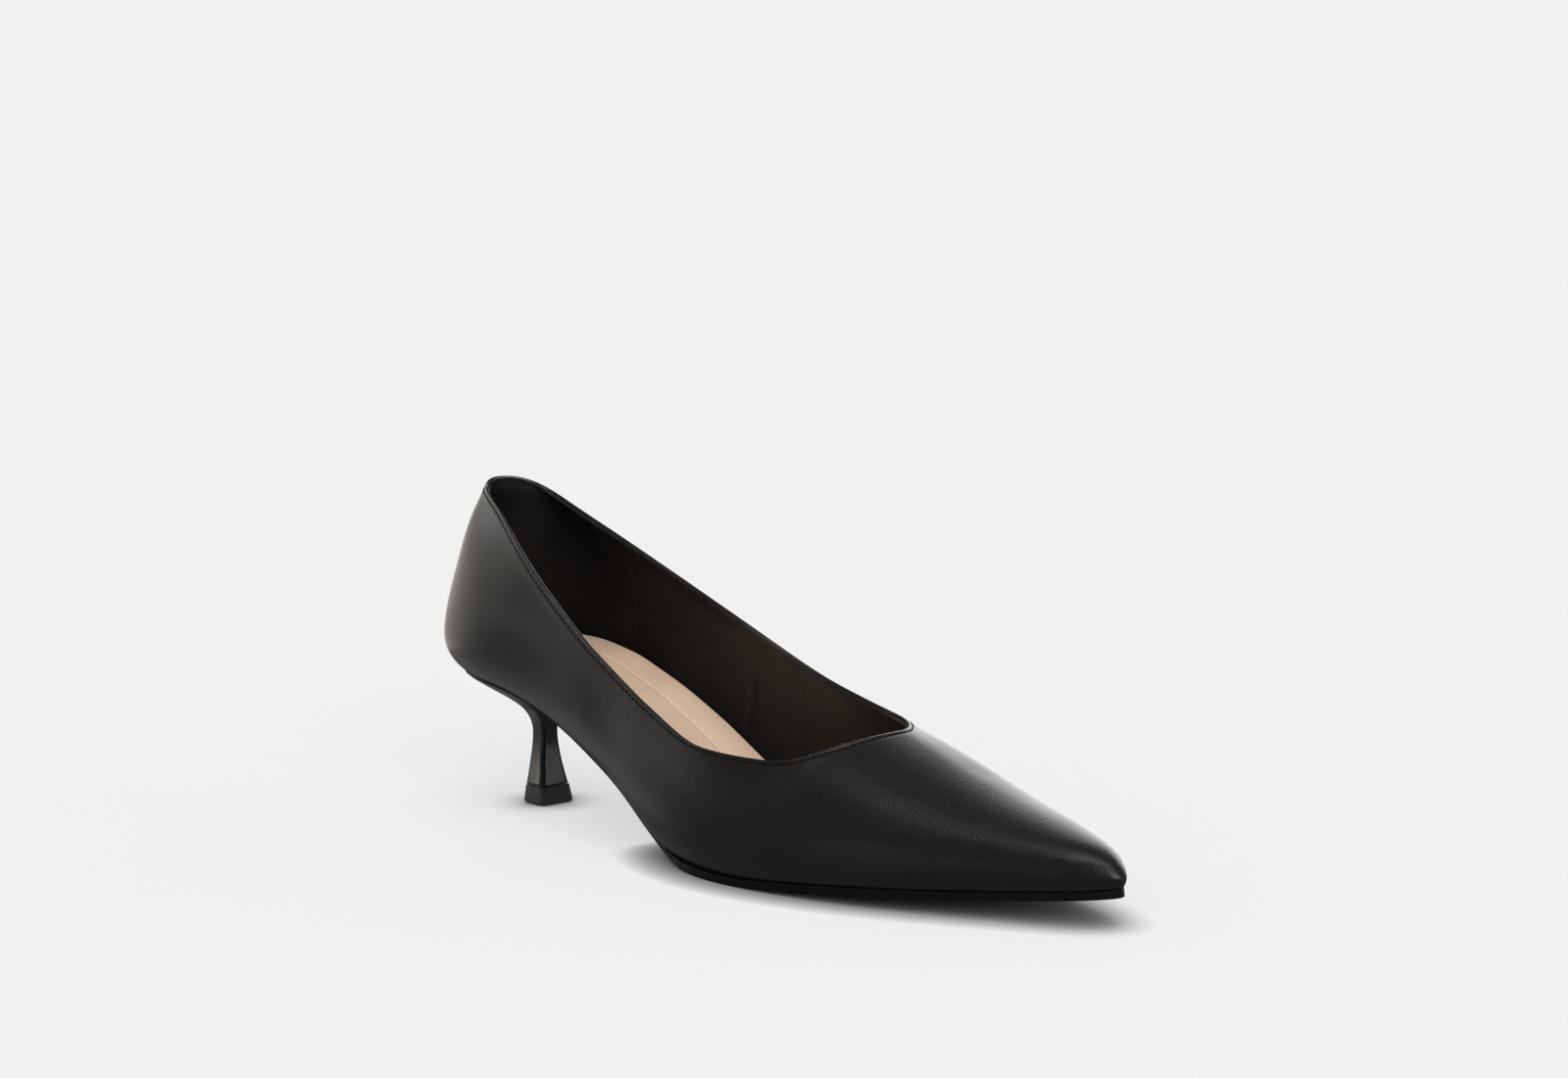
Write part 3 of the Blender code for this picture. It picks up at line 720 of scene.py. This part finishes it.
# The heel tip. A small block of hard matt rubber, pinned under the stem, that takes the wear.
# Its top edge stands a hair proud of the lacquer.
TIP_EDGE = 0.3 * MM
TIP_COLOURS = ((0.012, 0.011, 0.010), (0.024, 0.022, 0.020))
TIP_TINTS = 400.0
TIP_ROUGHNESS = (0.5, 0.68)
TIP_DULLS = 900.0
TIP_WEAR = 3200.0
TIP_WEAR_DEPTH = 0.04 * MM
tip = node_copy("heel_tip", "tip")
smooth_between_corners(tip, 1)
modify(tip, "BEVEL", width=TIP_EDGE, segments=2, limit_method="ANGLE", angle_limit=CORNER)
bpy.ops.object.shade_smooth()
material, tree, shader, where = finish(
    "tip_rubber", TIP_COLOURS, TIP_TINTS, TIP_ROUGHNESS, TIP_DULLS)
roughen(tree, shader, where, TIP_WEAR, TIP_WEAR_DEPTH)
settle(tip, material)
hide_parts("heel_tip")

# The insole and its sock. A board padded with thin foam under a tan sock, pressed with a line that
# follows its edge, and cupped where it meets the lining.
SOCK_LINE = 6.0 * MM
SOCK_LINE_WIDTH = 0.5 * MM
SOCK_LINE_DEPTH = 0.45 * MM
SOCK_CUP = 1.3 * MM
SOCK_CUP_WIDTH = 3.0 * MM
SOCK_CLEAR = 0.2 * MM
# rings of the sock's top, in from its edge in mm, close together at the cup and at the line
SOCK_INSETS = (0.0, 0.25, 0.7, 1.4, 2.4, 3.6, 4.7, 5.3, 5.7, 6.0, 6.3, 6.7, 7.3)
BOARD_DEPTH = 3.8 * MM
BOARD_INSET = 0.3 * MM
SPINE_SHARES = (0.3, 0.65)
SPINE_KNOTS = 27  # places along the spine where the sock's two sides meet
BOARD_SHARE = 0.5
SPINE_ENDS = (-104.0 * MM, 106.0 * MM)
SPINE_NEIGHBOURS = 6  # points of the outline that the spine is found between
SOCK_PROBE = 0.05 * MM  # how far inside its edge the insole's height is read
SOCK_MERGED = 0.1 * MM  # points of the spine nearer than this are one point
SOCK_COLOURS = ((0.70, 0.49, 0.35), (0.77, 0.56, 0.41))
SOCK_TINTS = 70.0
SOCK_ROUGHNESS = (0.44, 0.58)
SOCK_DULLS = 50.0
SOCK_NAP = 2200.0
SOCK_NAP_DEPTH = 0.04 * MM
insole_top = node_copy("insole", "insole_top")
insole_surface = surface_of(insole_top)
keep_skin(insole_top, lambda face: face.normal.z * face.area)
modify(insole_top, "SUBSURF", levels=1, render_levels=1)
outline = open_edge(insole_top.data, lambda point: -point.x)
bpy.data.objects.remove(insole_top)


def height_at(point, default):
    """The height of the insole's top at a point of its plan."""
    hit = insole_surface.ray_cast(Vector((point.x, point.y, 1.0)), Vector((0.0, 0.0, -1.0)))[0]
    return hit.z if hit else default


def spine_point(x):
    """The point of the sock's long axis at a station, held between the ends of the spine."""
    x = min(max(x, SPINE_ENDS[0]), SPINE_ENDS[1])
    near = sorted(outline, key=lambda point: abs(point.x - x))[:SPINE_NEIGHBOURS]
    return Vector((x, (min(p.y for p in near) + max(p.y for p in near)) / 2, 0.0))


def knot(x):
    """The nearest of the even places along the spine where the sock's two sides meet."""
    start, end = SPINE_ENDS
    pitch = (end - start) / (SPINE_KNOTS - 1)
    return spine_point(start + round((x - start) / pitch) * pitch)


def sock_point(point, middle, inset):
    """A point of the sock's top, in from its edge towards the spine."""
    flat = Vector((point.x, point.y, 0.0))
    inward = (middle - flat).normalized()
    spot = flat + inward * inset
    height = height_at(spot + inward * SOCK_PROBE, point.z)
    height += SOCK_CUP * bell(inset, SOCK_CUP_WIDTH)
    height -= SOCK_LINE_DEPTH * bell(inset - SOCK_LINE, SOCK_LINE_WIDTH)
    if inset < SOCK_CUP_WIDTH:
        reach = lining_wall.ray_cast(Vector((middle.x, middle.y, height)), -inward)[3]
        if reach:
            room = reach - SOCK_CLEAR - (middle - flat).length
            spot -= inward * room * (1.0 - inset / SOCK_CUP_WIDTH)
    return Vector((spot.x, spot.y, height))


def inward_ring(ring, line, share, drop):
    """A ring of points moved a share of the way to a line and laid below the insole's top."""
    moved = []
    for edge, middle in zip(ring, line):
        spot = edge.lerp(Vector((middle.x, middle.y, edge.z)), share)
        moved.append(Vector((spot.x, spot.y, height_at(spot, edge.z) - drop)))
    return moved


def ring_solid(name, rings):
    """A closed solid through rings of points, the first and the last closed on a line."""
    count = len(rings[0])
    faces = []
    for low in range(0, count * (len(rings) - 1), count):
        for i in range(count):
            j = (i + 1) % count
            faces.append((low + i, low + j, low + count + j, low + count + i))
    mesh = bpy.data.meshes.new(name)
    mesh.from_pydata([point for ring in rings for point in ring], [], faces)
    piece = bpy.data.objects.new(name, mesh)
    bpy.context.scene.collection.objects.link(piece)
    select_only(piece)
    bpy.ops.object.mode_set(mode="EDIT")
    bpy.ops.mesh.select_all(action="SELECT")
    bpy.ops.mesh.remove_doubles(threshold=SOCK_MERGED)
    bpy.ops.mesh.dissolve_degenerate(threshold=MERGED)
    bpy.ops.mesh.normals_make_consistent(inside=False)
    bpy.ops.object.mode_set(mode="OBJECT")
    return piece


spine = [spine_point(point.x) for point in outline]
knots = [knot(point.x) for point in outline]
board_edge = []
for point, middle in zip(outline, spine):
    inward = (Vector((middle.x, middle.y, point.z)) - point).normalized()
    board_edge.append(point + inward * BOARD_INSET - Vector((0.0, 0.0, BOARD_DEPTH)))
rings = [
    inward_ring(board_edge, knots, 1.0, BOARD_DEPTH),
    inward_ring(board_edge, spine, BOARD_SHARE, BOARD_DEPTH),
    board_edge,
]
for inset in SOCK_INSETS:
    rings.append([sock_point(point, middle, inset * MM) for point, middle in zip(outline, spine)])
flat_edge = rings[-1]
for share in SPINE_SHARES:
    rings.append(inward_ring(flat_edge, spine, share, 0.0))
rings.append(inward_ring(flat_edge, knots, 1.0, 0.0))
sock = ring_solid("sock", rings)
modify(sock, "SUBSURF", levels=1, render_levels=1)
bpy.ops.object.shade_smooth()
material, tree, shader, where = finish(
    "tan_sock", SOCK_COLOURS, SOCK_TINTS, SOCK_ROUGHNESS, SOCK_DULLS)
roughen(tree, shader, where, SOCK_NAP, SOCK_NAP_DEPTH)
settle(sock, material)
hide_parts("insole")
